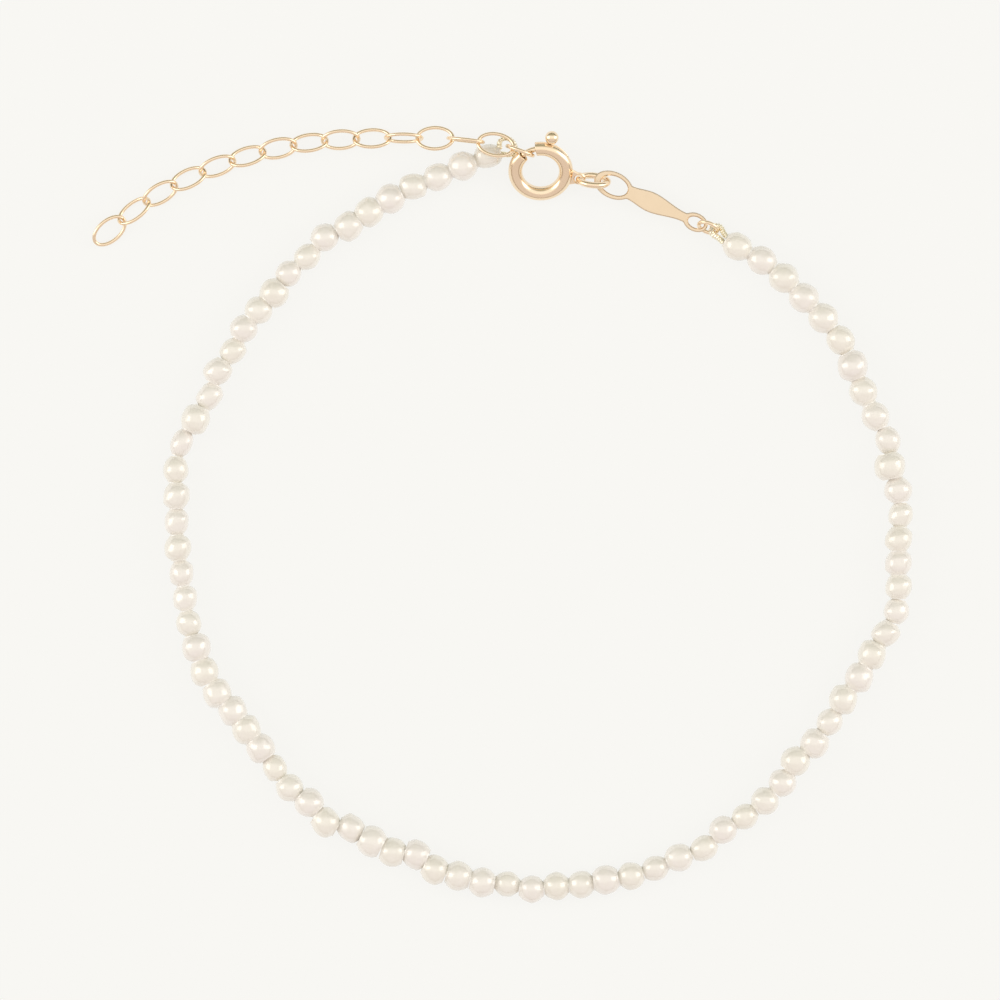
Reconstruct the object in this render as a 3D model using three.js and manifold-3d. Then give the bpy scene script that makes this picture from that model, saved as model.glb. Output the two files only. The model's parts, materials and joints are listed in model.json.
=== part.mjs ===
// Pearl bracelet: a closed string of small pearls, a spring ring, a bare tag and an extender chain
import * as THREE from 'three';
import { mergeVertices } from 'three/addons/utils/BufferGeometryUtils.js';
import Module from 'manifold-3d';

// Pearls, in millimetres
const pearlWidth = 2.16;
const pearlCount = 79;
const stringNeck = 0.42;
const sideStep = 0.12;
const pearlSides = 10;

// Gimp, the fine coil that guards the thread at each end of the string
const gimpWire = 0.38;
const gimpSides = 6;
const gimpSteps = 22;
const gimpSeat = 0.27;
const gimpPlay = 0.03;

// Spring ring: tube, sliding bolt and knob
const clampTube = 1.08;
const clampBore = 0.64;
const clampWidth = 4.99;
const clampTilt = 29.6;
const mouthA = 135;
const mouthB = 101;
const boltWire = 0.44;
const boltTip = 2.5;
const boltTail = 60;
const knobAngle = 73.6;
const knobDiameter = 1.04;
const knobStand = 0.02;
const knobNeck = 0.28;
const knobTravel = 38;
const slotWidth = 0.4;
const slotPlay = 6;
const clampSegments = 32;
const clampSides = 10;
const boreSides = 8;
const boltSegments = 12;
const slotSegments = 14;

// Lug on the spring ring, and the ring that joins it to the tag
const lugAngle = -12.2;
const lugReach = 3.03;
const lugBase = 1.32;
const lugShoulder = THREE.MathUtils.degToRad(110);
const lugPlate = 0.28;
const lugWall = 0.14;
const joinWire = 0.5;
const joinDiameter = 2.74;
const ringPlay = 0.11;
const lugSegments = 10;

// Tag, a bare plate with a large eye and a small one
const tagPlate = 0.28;
const tagHeight = 1.1;
const eyeSegments = 20;
const tagSegments = 4;
const eyeSpacing = 6.95;
const largeEye = { length: 3.1, width: 2.06, holeLength: 2.2, holeWidth: 1.4, holeAhead: 0.08 };
const smallEye = { length: 1.96, width: 1.42, holeLength: 1.3, holeWidth: 0.82, holeAhead: 0.05 };
const waistWidth = 1.08;
const bellyWidth = 1.56;
const bellyPlace = 0.45;
const tailWidth = 0.73;
const waistOverlap = 0.2;

// Small rings at the two ends of the string
const leftRing = { diameter: 2.43, wire: 0.31 };
const rightRing = { diameter: 1.83, wire: 0.31 };
const rightRingAhead = 0.3;

// Extender links
const linkCount = 14;
const linkWire = 0.28;
const linkWidth = 2.05;
const linkPlay = 0.09;
const linkSides = 6;
const linkSteps = 16;

// Places of the hard pieces as they lie: x, y, z in millimetres, and angles in degrees
const places = {
  springRing: { at: [2.945, 26.577, 1.506], azimuth: 0, rise: 0, lean: clampTilt },
  joinRing: { azimuth: -8, rise: 6.5, lean: 111 },
  tag: { at: [8.56, 25.5, tagHeight], azimuth: -24.3, rise: 0, lean: 0 },
  rightRing: { azimuth: -22, rise: 0, lean: 64 },
  leftRing: { azimuth: -20.9, rise: 0, lean: 90 },
};
const leftRingAngle = 126;
const leftRingAhead = 0.46;

// Route of the pearls from the tag's end round to the extender's end: x, y of every third pearl
const stringRoute = [
  [18.13, 20.76], [23.27, 16.81], [27.02, 11.56], [29.76, 5.8], [30.73, 0.04], [30.57, -5.49],
  [28.52, -10.74], [25.24, -15.96], [21.61, -20.64], [17.04, -24.27], [11.79, -27.25], [6.07, -28.49],
  [0.35, -28.45], [-5.22, -27.33], [-10.09, -25.16], [-14.92, -22.15], [-18.67, -17.97],
  [-22.03, -13.72], [-24.23, -8.31], [-25.08, -2.51], [-25.24, 3.52], [-22.61, 9.24],
  [-19.98, 14.42], [-16.54, 18.67], [-11.9, 22.34], [-6.92, 25.39], [-1.12, 27.75],
];

// Route of the extender from its free end to the clasp: x, y, z of the places where links meet
const extenderRoute = [
  [-31.28, 21.21, 0.5], [-27.87, 24.0, 0.78], [-23.85, 26.24, 0.78], [-19.21, 27.91, 0.78],
  [-14.49, 28.87, 0.78], [-9.47, 29.14, 0.88], [-4.33, 29.1, 1.5], [-1.86, 28.85, 2.28],
  [0.68, 28.34, 2.63],
];

// How far each link is rolled about the chain, from the free end, in degrees
const linkRolls = [27, -45, 42, -40, 44, -42, 40, -44, 42, -40, 72, -20, 88, -17];

// Kinds of pearl: width as a share of the pearl width, and lean of its girdle in degrees
const pearlKinds = {
  r: { width: 1.0, lean: 0 },
  w: { width: 1.07, lean: 0 },
  x: { width: 1.14, lean: 8 },
  n: { width: 0.91, lean: 0 },
  s: { width: 0.78, lean: 0 },
  f: { width: 1.07, lean: -13 },
  b: { width: 1.07, lean: 13 },
  m: { width: 1.0, lean: 16 },
  k: { width: 0.91, lean: 16 },
};

// One letter a pearl along the route, naming its kind
const kindChart = 'rrwwwrxrrn' + 'xrkmmmnmff' + 'fnfwrrnrnr' + 'nrwrrrnwwb' + 'bwxmbwrkbb'
  + 'bbbbnkkmkm' + 'nsfkmkrrwn' + 'nrffwmrwk';

// One digit a pearl: 5 sits on the route, 6 is one side step outwards, 4 one inwards
const sideChart = '5765675335' + '2553358755' + '4552566585' + '5545575655' + '0554957654'
  + '3565544543' + '5765745435' + '585555455';

// Rings of a pearl from its girdle to its end, as shares of the half length
const pearlBands = [-0.8, -0.42, 0, 0.42, 0.8];
const pearlRoundness = 2.4;

const wasm = await Module();
wasm.setup();

// Materials
const pearlLook = { color: 0xe9e3d6, roughness: 0.28, metalness: 0.0 };
const goldLook = { color: 0xe8c79a, roughness: 0.22, metalness: 1.0 };
const gimpLook = { color: 0xe6c878, roughness: 0.3, metalness: 1.0 };

function named(name, geometry, look) {
  const mesh = new THREE.Mesh(geometry, new THREE.MeshStandardMaterial(look));
  mesh.name = name;
  return mesh;
}

const radians = THREE.MathUtils.degToRad;

// Sets a piece down: its X axis points along azimuth and rise, then it leans about that axis
function place(piece, { at, azimuth, rise, lean }) {
  piece.position.set(...at);
  piece.rotation.set(radians(lean), radians(-rise), radians(azimuth), 'ZYX');
  return piece;
}

// Hangs a round ring so that the wire at its near end passes through a point of another piece
function hang(ring, pose, { diameter, wire }, holder, point) {
  place(ring, { at: [0, 0, 0], ...pose });
  holder.updateMatrix();
  const nearEnd = new THREE.Vector3(-(diameter - wire) / 2, 0, 0).applyEuler(ring.rotation);
  ring.position.copy(point).applyMatrix4(holder.matrix).sub(nearEnd);
  return ring;
}

// Solid for a cut or a join, and back to a geometry
function toSolid(geometry) {
  const bare = geometry.clone();
  bare.deleteAttribute('normal');
  bare.deleteAttribute('uv');
  const merged = mergeVertices(bare, 1e-5);
  const vertProperties = new Float32Array(merged.attributes.position.array);
  const triVerts = new Uint32Array(merged.index.array);
  return new wasm.Manifold(new wasm.Mesh({ numProp: 3, vertProperties, triVerts }));
}

function toGeometry(solid) {
  const { vertProperties, triVerts } = solid.getMesh();
  const geometry = new THREE.BufferGeometry();
  geometry.setAttribute('position', new THREE.BufferAttribute(vertProperties, 3));
  geometry.setIndex(new THREE.BufferAttribute(triVerts, 1));
  geometry.computeVertexNormals();
  return geometry;
}

// Ring of points square to a direction, wide across it and tall towards up
function ringOfPoints(centre, direction, up, width, height, sides) {
  const across = new THREE.Vector3().crossVectors(up, direction).normalize();
  const points = [];
  for (let side = 0; side < sides; side++) {
    const angle = Math.PI / 2 + 2 * Math.PI * side / sides;
    const point = centre.clone();
    point.addScaledVector(across, width / 2 * Math.cos(angle));
    point.addScaledVector(up, height / 2 * Math.sin(angle));
    points.push(point);
  }
  return points;
}

// Closed skin through rings of points, either joined end to end or closed by a flat face at each end
function loft(rings, joined) {
  const sides = rings[0].length;
  const faces = [];
  const bands = joined ? rings.length : rings.length - 1;
  for (let band = 0; band < bands; band++) {
    const near = band * sides;
    const far = (band + 1) % rings.length * sides;
    for (let side = 0; side < sides; side++) {
      const next = (side + 1) % sides;
      faces.push(near + side, near + next, far + next);
      faces.push(near + side, far + next, far + side);
    }
  }
  const last = (rings.length - 1) * sides;
  for (let side = 1; side < sides - 1 && !joined; side++) {
    faces.push(0, side + 1, side);
    faces.push(last, last + side, last + side + 1);
  }
  const geometry = new THREE.BufferGeometry().setFromPoints(rings.flat());
  geometry.setIndex(faces);
  geometry.computeVertexNormals();
  return geometry;
}

const upwards = new THREE.Vector3(0, 0, 1);

// Pearls as they follow the route: centre, width and lean of each
function pearlStations() {
  const route = new THREE.CatmullRomCurve3(
    stringRoute.map(([x, y]) => new THREE.Vector3(x, y, 0)), false, 'catmullrom', 0.5);
  const stations = [];
  for (let pearl = 0; pearl < pearlCount; pearl++) {
    const along = pearl / (pearlCount - 1);
    const kind = pearlKinds[kindChart[pearl % kindChart.length]];
    const tangent = route.getTangent(along);
    const outwards = new THREE.Vector3().crossVectors(upwards, tangent);
    const steps = Number(sideChart[pearl % sideChart.length]) - 5;
    const width = pearlWidth * kind.width;
    const centre = route.getPoint(along).addScaledVector(outwards, steps * sideStep);
    centre.z = width / 2;
    stations.push({ centre, width, lean: kind.lean });
  }
  return stations;
}

// Direction of the thread through a pearl, and the place where it meets its neighbour
function threadThrough(stations, pearl) {
  const before = stations[Math.max(pearl - 1, 0)].centre;
  const after = stations[Math.min(pearl + 1, stations.length - 1)].centre;
  return new THREE.Vector3().subVectors(after, before).setZ(0).normalize();
}

function meetingPoint(stations, pearl, step) {
  const { centre } = stations[pearl];
  const neighbour = stations[pearl + step];
  if (neighbour) return centre.clone().lerp(neighbour.centre, 0.5);
  const inner = stations[pearl - step].centre;
  return centre.clone().lerp(inner, -0.5).setZ(centre.z);
}

function pearlString(stations) {
  const rings = [];
  for (let pearl = 0; pearl < stations.length; pearl++) {
    const { centre, width, lean } = stations[pearl];
    const thread = threadThrough(stations, pearl);
    const start = meetingPoint(stations, pearl, -1);
    const end = meetingPoint(stations, pearl, 1);
    if (pearl === 0) rings.push(neckRing(start, thread, width));
    for (const band of pearlBands) {
      const share = Math.abs(band);
      const middle = centre.clone().lerp(band < 0 ? start : end, share);
      const girth = width * (1 - share ** pearlRoundness) ** (1 / pearlRoundness);
      const turned = thread.clone().applyAxisAngle(upwards, radians(lean * (1 - share)));
      rings.push(ringOfPoints(middle, turned, upwards, girth, girth, pearlSides));
    }
    const next = stations[pearl + 1];
    const onward = next ? threadThrough(stations, pearl + 1).add(thread).normalize() : thread;
    rings.push(neckRing(end, onward, next ? (width + next.width) / 2 : width));
  }
  return loft(rings, false);
}

function neckRing(centre, direction, width) {
  return ringOfPoints(centre, direction, upwards, width * stringNeck, width * stringNeck, pearlSides);
}

// Regular outline, either solid or as a hole
function outline(diameter, sides) {
  const points = [];
  for (let side = 0; side < sides; side++) {
    const angle = 2 * Math.PI * side / sides;
    points.push(new THREE.Vector2(Math.cos(angle), Math.sin(angle)).multiplyScalar(diameter / 2));
  }
  return points;
}

// Flat plates, centred on their own plane
function plate(shape, thickness, curveSegments) {
  const solid = new THREE.ExtrudeGeometry(shape, { depth: thickness, bevelEnabled: false, curveSegments });
  return solid.translate(0, 0, -thickness / 2);
}

function oval(x, length, width, thickness) {
  const shape = new THREE.Shape();
  shape.absellipse(x, 0, length / 2, width / 2, 0, 2 * Math.PI, false);
  return plate(shape, thickness, eyeSegments);
}

// Gimp loop: both strands leave the end pearl side by side and the bend goes round a ring's wire
function gimpLoop(bend, ring, pearl, outwardsFromPearl) {
  const side = new THREE.Vector3().crossVectors(upwards, outwardsFromPearl);
  const seat = pearl.clone().addScaledVector(outwardsFromPearl, gimpSeat);
  const apart = gimpWire / 2 + gimpPlay;
  const path = [seat.clone().addScaledVector(side, apart)];
  bend.forEach(([x, y, z]) => path.push(new THREE.Vector3(x, y, z).add(ring)));
  path.push(seat.clone().addScaledVector(side, -apart));
  const curve = new THREE.CatmullRomCurve3(path, false, 'catmullrom', 0.5);
  const section = new THREE.Shape(outline(gimpWire, gimpSides));
  return new THREE.ExtrudeGeometry(section, { steps: gimpSteps, extrudePath: curve });
}

// Arc in the plane of the spring ring, between two angles in degrees
class Arc extends THREE.Curve {
  constructor(radius, from, to) {
    super();
    Object.assign(this, { radius, from, to });
  }

  getPoint(share, target = new THREE.Vector3()) {
    const angle = radians(this.from + (this.to - this.from) * share);
    return target.set(this.radius * Math.cos(angle), this.radius * Math.sin(angle), 0);
  }
}

const clampRadius = (clampWidth - clampTube) / 2;

// Flat block between two radii and two angles, centred on the ring's plane
function sector(inner, outer, from, to, thickness) {
  const shape = new THREE.Shape();
  shape.absarc(0, 0, outer, radians(from), radians(to), false);
  shape.absarc(0, 0, inner, radians(to), radians(from), true);
  return plate(shape, thickness, slotSegments);
}

// Lug: a flat tab that narrows to an eye, rooted in the wall of the tube
function lug() {
  const hole = joinWire / 2 + ringPlay;
  const eye = hole + lugWall;
  const wallMiddle = clampRadius + (clampTube + clampBore) / 4;
  const root = Math.sqrt(wallMiddle ** 2 - (lugBase / 2) ** 2);
  const shape = new THREE.Shape();
  shape.moveTo(root, -lugBase / 2);
  shape.absarc(lugReach, 0, eye, -lugShoulder, lugShoulder, false);
  shape.lineTo(root, lugBase / 2);
  const tab = toSolid(plate(shape, lugPlate, lugSegments));
  const drill = toSolid(oval(lugReach, hole * 2, hole * 2, lugPlate * 2));
  return toSolid(toGeometry(tab.subtract(drill)).rotateZ(radians(lugAngle)));
}

function springRingBody() {
  const section = new THREE.Shape(outline(clampTube, clampSides));
  section.holes.push(new THREE.Path(outline(clampBore, boreSides)));
  const arc = new Arc(clampRadius, mouthA, 360 + mouthB);
  const tube = new THREE.ExtrudeGeometry(section, { steps: clampSegments, extrudePath: arc });
  const slotEnd = knobAngle - knobTravel - slotPlay;
  const slot = sector(clampRadius, clampRadius + clampTube, slotEnd, mouthB + slotPlay, slotWidth);
  return toGeometry(toSolid(tube).subtract(toSolid(slot)).add(lug()));
}

function springRingTrigger() {
  const section = new THREE.Shape(outline(boltWire, boreSides));
  const arc = new Arc(clampRadius, boltTail, mouthA + boltTip);
  const bolt = new THREE.ExtrudeGeometry(section, { steps: boltSegments, extrudePath: arc });
  const reach = (clampTube + knobDiameter) / 2 + knobStand;
  const neck = new THREE.CylinderGeometry(knobNeck / 2, knobNeck / 2, reach, 8);
  neck.rotateZ(-Math.PI / 2).translate(clampRadius + reach / 2, 0, 0);
  const knob = new THREE.SphereGeometry(knobDiameter / 2, 12, 8);
  knob.translate(clampRadius + reach, 0, 0);
  const thumb = toSolid(neck).add(toSolid(knob));
  const turned = toGeometry(thumb).rotateZ(radians(knobAngle));
  return toGeometry(toSolid(bolt).add(toSolid(turned)));
}

function roundRing({ diameter, wire }) {
  return new THREE.TorusGeometry((diameter - wire) / 2, wire / 2, linkSides, linkSteps);
}

// Tag: two eyes and a body that swells between them
function tag() {
  const edge = [
    new THREE.Vector2(0, waistWidth / 2),
    new THREE.Vector2(largeEye.length / 2 - waistOverlap, waistWidth / 2),
    new THREE.Vector2(eyeSpacing * bellyPlace, bellyWidth / 2),
    new THREE.Vector2(eyeSpacing - smallEye.length / 2, tailWidth / 2),
    new THREE.Vector2(eyeSpacing, tailWidth / 2),
  ];
  const otherEdge = edge.map(({ x, y }) => new THREE.Vector2(x, -y)).reverse();
  const body = new THREE.Shape();
  body.moveTo(edge[0].x, edge[0].y);
  body.splineThru(edge.slice(1));
  body.lineTo(otherEdge[0].x, otherEdge[0].y);
  body.splineThru(otherEdge.slice(1));
  const blank = toSolid(plate(body, tagPlate, tagSegments))
    .add(toSolid(oval(0, largeEye.length, largeEye.width, tagPlate)))
    .add(toSolid(oval(eyeSpacing, smallEye.length, smallEye.width, tagPlate)));
  const drill = tagPlate * 2;
  const largeHole = oval(largeEye.holeAhead, largeEye.holeLength, largeEye.holeWidth, drill);
  const smallMiddle = eyeSpacing + smallEye.holeAhead;
  const smallHole = oval(smallMiddle, smallEye.holeLength, smallEye.holeWidth, drill);
  return toGeometry(blank.subtract(toSolid(largeHole)).subtract(toSolid(smallHole)));
}

// Extender: oval links, each through the next, laid from contact to contact along their route
function ovalLink(length, width) {
  const rings = [];
  for (let step = 0; step < linkSteps; step++) {
    const angle = 2 * Math.PI * step / linkSteps;
    const halfLength = (length - linkWire) / 2;
    const halfWidth = (width - linkWire) / 2;
    const centre = new THREE.Vector3(halfLength * Math.cos(angle), halfWidth * Math.sin(angle), 0);
    const travel = new THREE.Vector3(-halfLength * Math.sin(angle), halfWidth * Math.cos(angle), 0);
    travel.normalize();
    rings.push(ringOfPoints(centre, travel, upwards, linkWire, linkWire, linkSides));
  }
  return loft(rings, true);
}

function extenderLinks() {
  const route = new THREE.CatmullRomCurve3(
    extenderRoute.map(([x, y, z]) => new THREE.Vector3(x, y, z)), false, 'catmullrom', 0.5);
  route.arcLengthDivisions = 1000;
  const links = [];
  for (let link = 0; link < linkCount; link++) {
    const start = route.getPointAt(link / linkCount);
    const end = route.getPointAt((link + 1) / linkCount);
    const span = end.clone().sub(start);
    const length = span.length() + 2 * linkWire + linkPlay;
    const name = `extender_link_${String(link + 1).padStart(2, '0')}`;
    const middle = start.clone().lerp(end, 0.5);
    links.push(place(named(name, ovalLink(length, linkWidth), goldLook), {
      at: middle.toArray(),
      azimuth: THREE.MathUtils.radToDeg(Math.atan2(span.y, span.x)),
      rise: THREE.MathUtils.radToDeg(Math.asin(span.z / span.length())),
      lean: linkRolls[link % linkRolls.length],
    }));
  }
  return links;
}

const bracelet = new THREE.Group();
const stations = pearlStations();
bracelet.add(named('pearl_string', pearlString(stations), pearlLook));

const springRing = new THREE.Group();
springRing.add(named('spring_ring', springRingBody(), goldLook));
springRing.add(named('spring_ring_trigger', springRingTrigger(), goldLook));
bracelet.add(place(springRing, places.springRing));

// Tag side: each piece hangs from the one before it
const lugEye = new THREE.Vector3(lugReach, 0, 0).applyAxisAngle(upwards, radians(lugAngle));
const joinRing = { diameter: joinDiameter, wire: joinWire };
const tagRing = named('tag_ring', roundRing(joinRing), goldLook);
bracelet.add(hang(tagRing, places.joinRing, joinRing, springRing, lugEye));

const tagPiece = place(named('tag', tag(), goldLook), places.tag);
const smallHole = new THREE.Vector3(eyeSpacing + rightRingAhead, 0, 0);
const endRing = named('right_jump_ring', roundRing(rightRing), goldLook);
bracelet.add(tagPiece, hang(endRing, places.rightRing, rightRing, tagPiece, smallHole));

// Left ring: the bolt of the spring ring passes through it, off its middle
springRing.updateMatrix();
const bolt = new THREE.Vector3(clampRadius, 0, 0).applyAxisAngle(upwards, radians(leftRingAngle));
const clampedRing = named('left_jump_ring', roundRing(leftRing), goldLook);
place(clampedRing, { at: [0, 0, 0], ...places.leftRing });
const ringAcross = new THREE.Vector3(1, 0, 0).applyEuler(clampedRing.rotation);
clampedRing.position.copy(bolt).applyMatrix4(springRing.matrix).addScaledVector(ringAcross, -leftRingAhead);
bracelet.add(clampedRing);

// Bends of the two gimp loops: x, y, z from the right ring's far end and from the left ring's middle
const rightBend = [
  [-0.3, -0.34, 0], [-0.46, 0, 0], [-0.32, 0.36, 0], [0.02, 0.51, 0], [0.34, 0.36, 0],
];
const leftBend = [
  [-1.47, 0.6, -0.77], [-1.29, 0.87, -0.54], [-0.89, 0.92, -0.43], [-0.51, 0.59, -0.45],
  [-0.37, 0.17, -0.51], [-0.56, -0.14, -0.63], [-0.89, -0.25, -0.85],
];
const farEnd = new THREE.Vector3((rightRing.diameter - rightRing.wire) / 2, 0, 0);
farEnd.applyEuler(endRing.rotation).add(endRing.position);
const lastPearl = stations.length - 1;
const rightOut = threadThrough(stations, 0).negate();
const rightGimp = gimpLoop(rightBend, farEnd, meetingPoint(stations, 0, -1), rightOut);
bracelet.add(named('right_gimp_loop', rightGimp, gimpLook));
const leftOut = threadThrough(stations, lastPearl);
const leftGimp = gimpLoop(leftBend, clampedRing.position, meetingPoint(stations, lastPearl, 1), leftOut);
bracelet.add(named('left_gimp_loop', leftGimp, gimpLook));
bracelet.add(...extenderLinks());

// Origin at the middle of the base
const box = new THREE.Box3().setFromObject(bracelet, true);
const middle = box.getCenter(new THREE.Vector3());
bracelet.position.set(-middle.x, -middle.y, -box.min.z);

export default bracelet;
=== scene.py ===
# %% [markdown]
# # A pearl bracelet, seen from straight above
# The bracelet is a closed string of 79 small freshwater pearls with a spring ring clasp, a flat
# tag and a chain that lets the clasp be hooked further out. It lies on a pale table.
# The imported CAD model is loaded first, because every piece here stands in for one of its nodes.

# %% Load the frame
import json
import math

import bmesh
import bpy
from mathutils import Euler, Matrix, Vector


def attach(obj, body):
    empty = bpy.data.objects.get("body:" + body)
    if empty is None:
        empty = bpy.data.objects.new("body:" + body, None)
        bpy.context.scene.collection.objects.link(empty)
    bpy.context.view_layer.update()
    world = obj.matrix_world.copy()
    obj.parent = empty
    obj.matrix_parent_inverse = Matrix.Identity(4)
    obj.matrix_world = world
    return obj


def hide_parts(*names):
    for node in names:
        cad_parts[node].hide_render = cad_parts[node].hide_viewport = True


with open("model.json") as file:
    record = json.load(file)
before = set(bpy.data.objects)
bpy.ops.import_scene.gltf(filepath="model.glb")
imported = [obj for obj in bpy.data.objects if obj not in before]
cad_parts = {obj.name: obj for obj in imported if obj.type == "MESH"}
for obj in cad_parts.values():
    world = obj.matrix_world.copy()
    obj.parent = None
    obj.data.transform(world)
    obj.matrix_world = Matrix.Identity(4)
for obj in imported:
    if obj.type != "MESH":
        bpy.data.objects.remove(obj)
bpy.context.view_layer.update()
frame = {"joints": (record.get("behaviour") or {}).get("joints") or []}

MM = 0.001

# %% [markdown]
# ## Places
# The sizes below are those of the CAD model, in millimetres. Its hinge tells where the clasp is, and
# the way from the clasp's drawing place to the hinge carries every other place into the frame.

# %% Carry drawing places into the frame
CLAMP_DRAWN = Vector((2.945, 26.577, 1.506))
hinge = frame["joints"][0]
CLAMP_CENTRE = Vector(hinge["pos_m"]) / MM
SHIFT = CLAMP_CENTRE - CLAMP_DRAWN
CLAMP_NORMAL = -Vector(hinge["axis"]).normalized()
CLAMP_TILT = math.atan2(-CLAMP_NORMAL.y, CLAMP_NORMAL.z)
print("clasp centre in mm:", [round(value, 3) for value in CLAMP_CENTRE])
print("clasp tilt in degrees:", round(math.degrees(CLAMP_TILT), 2))


def pose(at, azimuth, rise, lean):
    """Place in millimetres of a piece whose X axis points along azimuth and rise, leaned about it."""
    turn = Euler((math.radians(lean), -math.radians(rise), math.radians(azimuth))).to_matrix()
    return Matrix.Translation(at) @ turn.to_4x4()


CLAMP_POSE = pose(CLAMP_CENTRE, 0, 0, math.degrees(CLAMP_TILT))

# %% [markdown]
# ## Camera
# The photograph looks straight down through a long lens, so the camera hangs far above the table and
# its field of view takes in 77.3 mm, the width of the photograph. One pixel of it is 0.0773 mm, and the
# drawing's origin lies a little beside its middle.

# %% Hang the camera
PIXEL = 0.0773
PHOTO_WIDTH = 1000
ORIGIN_PIXEL = (502.5, 515.5)
VIEW_WIDTH = PHOTO_WIDTH * PIXEL
LENS_HEIGHT = 900
SENSOR = 36
NEAREST, FARTHEST = 10, 10000
right_of_origin = (PHOTO_WIDTH / 2 - ORIGIN_PIXEL[0]) * PIXEL
behind_origin = (ORIGIN_PIXEL[1] - PHOTO_WIDTH / 2) * PIXEL
VIEW_CENTRE = Vector((right_of_origin, behind_origin, 0)) + SHIFT

camera_data = bpy.data.cameras.new("camera")
camera_data.sensor_width = SENSOR
camera_data.lens = SENSOR * LENS_HEIGHT / VIEW_WIDTH
camera_data.clip_start = NEAREST * MM
camera_data.clip_end = FARTHEST * MM
camera = bpy.data.objects.new("camera", camera_data)
camera.location = Vector((VIEW_CENTRE.x, VIEW_CENTRE.y, LENS_HEIGHT)) * MM
bpy.context.scene.collection.objects.link(camera)
bpy.context.scene.camera = camera
print("lens in mm:", round(camera_data.lens, 1))

# %% [markdown]
# ## Node graphs in plain expressions
# Materials and Geometry Nodes are both node trees. A small class wraps one socket, so that a sum or a
# product of two sockets is written as such and adds the Math node by itself.

# %% Sockets with arithmetic


def find(sockets, key):
    """Socket by its number, or the first one in use with that name."""
    if isinstance(key, int):
        return sockets[key]
    return next(socket for socket in sockets if socket.enabled and key in (socket.name, socket.identifier))


class Value:
    """One output of a node, with arithmetic."""

    def __init__(self, graph, socket):
        self.graph = graph
        self.socket = socket

    def maths(self, operation, *values):
        inputs = dict(enumerate(values))
        return self.graph.node("ShaderNodeMath", {"operation": operation}, inputs)

    def __add__(self, other):
        return self.maths("ADD", self, other)

    def __radd__(self, other):
        return self.maths("ADD", other, self)

    def __sub__(self, other):
        return self.maths("SUBTRACT", self, other)

    def __rsub__(self, other):
        return self.maths("SUBTRACT", other, self)

    def __mul__(self, other):
        return self.maths("MULTIPLY", self, other)

    def __rmul__(self, other):
        return self.maths("MULTIPLY", other, self)

    def __truediv__(self, other):
        return self.maths("DIVIDE", self, other)

    def __rtruediv__(self, other):
        return self.maths("DIVIDE", other, self)

    def __pow__(self, other):
        return self.maths("POWER", self, other)

    def __neg__(self):
        return self.maths("MULTIPLY", self, -1)

    def __abs__(self):
        return self.maths("ABSOLUTE", self)

    def sine(self):
        return self.maths("SINE", self)

    def cosine(self):
        return self.maths("COSINE", self)

    def above(self, limit):
        return self.maths("GREATER_THAN", self, limit)

    def least(self, other):
        return self.maths("MINIMUM", self, other)

    def most(self, other):
        return self.maths("MAXIMUM", self, other)

    def output(self, key):
        """Another output of the same node."""
        return Value(self.graph, find(self.socket.node.outputs, key))


print("arithmetic ready")

# %% [markdown]
# ### Graphs
# A second class holds the tree itself. One method adds any node, and the short ones below it are the
# nodes that this bracelet needs often: vectors, colours and noise.

# %% Graphs filled by calls


class Graph:
    """A node tree that is filled by calls."""

    def __init__(self, tree):
        self.tree = tree
        tree.nodes.clear()

    def node(self, kind, settings, inputs, output=0):
        """Add a node: its settings first, then the values or links of its sockets."""
        node = self.tree.nodes.new(kind)
        for name, value in settings.items():
            if name == "stops":
                set_stops(node.color_ramp, value)
            else:
                setattr(node, name, value)
        for key, value in inputs.items():
            socket = find(node.inputs, key)
            if isinstance(value, Value):
                self.tree.links.new(value.socket, socket)
            else:
                socket.default_value = value
        if not node.outputs:
            return None
        return Value(self, find(node.outputs, output))

    def vector(self, operation, *values):
        inputs = dict(enumerate(values))
        return self.node("ShaderNodeVectorMath", {"operation": operation}, inputs)

    def stretch(self, value, factor):
        return self.node("ShaderNodeVectorMath", {"operation": "SCALE"}, {"Vector": value, "Scale": factor})

    def combine(self, x, y, z):
        return self.node("ShaderNodeCombineXYZ", {}, {"X": x, "Y": y, "Z": z})

    def separate(self, value):
        parts = self.node("ShaderNodeSeparateXYZ", {}, {"Vector": value})
        return parts, parts.output("Y"), parts.output("Z")

    def mix_colour(self, factor, first, second):
        inputs = {"Factor": factor, "A": first, "B": second}
        return self.node("ShaderNodeMix", {"data_type": "RGBA"}, inputs, "Result")

    def noise(self, vector, scale, detail=2.0, seed=0.0):
        return self.node("ShaderNodeTexNoise", {"noise_dimensions": "4D"},
                         {"Vector": vector, "W": seed, "Scale": scale, "Detail": detail}, "Fac")


def set_stops(ramp, stops):
    """Colour ramp with the given places and colours."""
    while len(ramp.elements) < len(stops):
        ramp.elements.new(0.5)
    for element, (place, colour) in zip(ramp.elements, stops):
        element.position = place
        element.color = (*colour, 1)


print("graphs ready")

# %% [markdown]
# ## Pearl
# Nacre is a stack of thin clear layers over a dull core. The layers below give a broad soft sheen, which
# is the rough base of the shader with a trace of metal in it, and the smooth top layer mirrors the
# lamps, which is the coat. Scattering below the skin was left out, because it dims the rim of a pearl as
# small as these. Each pearl gets a tint of its own from the seed that the Geometry Nodes leave on it,
# and cloudy bands around it from its own coordinates.

# %% Material helpers


def new_material(name):
    material = bpy.data.materials.new(name)
    material.use_nodes = True
    return material, Graph(material.node_tree)


def finish_material(graph, shader):
    graph.node("ShaderNodeOutputMaterial", {}, {"Surface": shader})


def attribute(graph, name, output="Fac"):
    return graph.node("ShaderNodeAttribute", {"attribute_name": name}, {}, output)


def bump(graph, height, strength, depth):
    """Normal that follows a height of nought to one, with its depth in millimetres."""
    inputs = {"Strength": strength, "Distance": depth * MM, "Height": height}
    return graph.node("ShaderNodeBump", {}, inputs)


print("material helpers ready")

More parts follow.
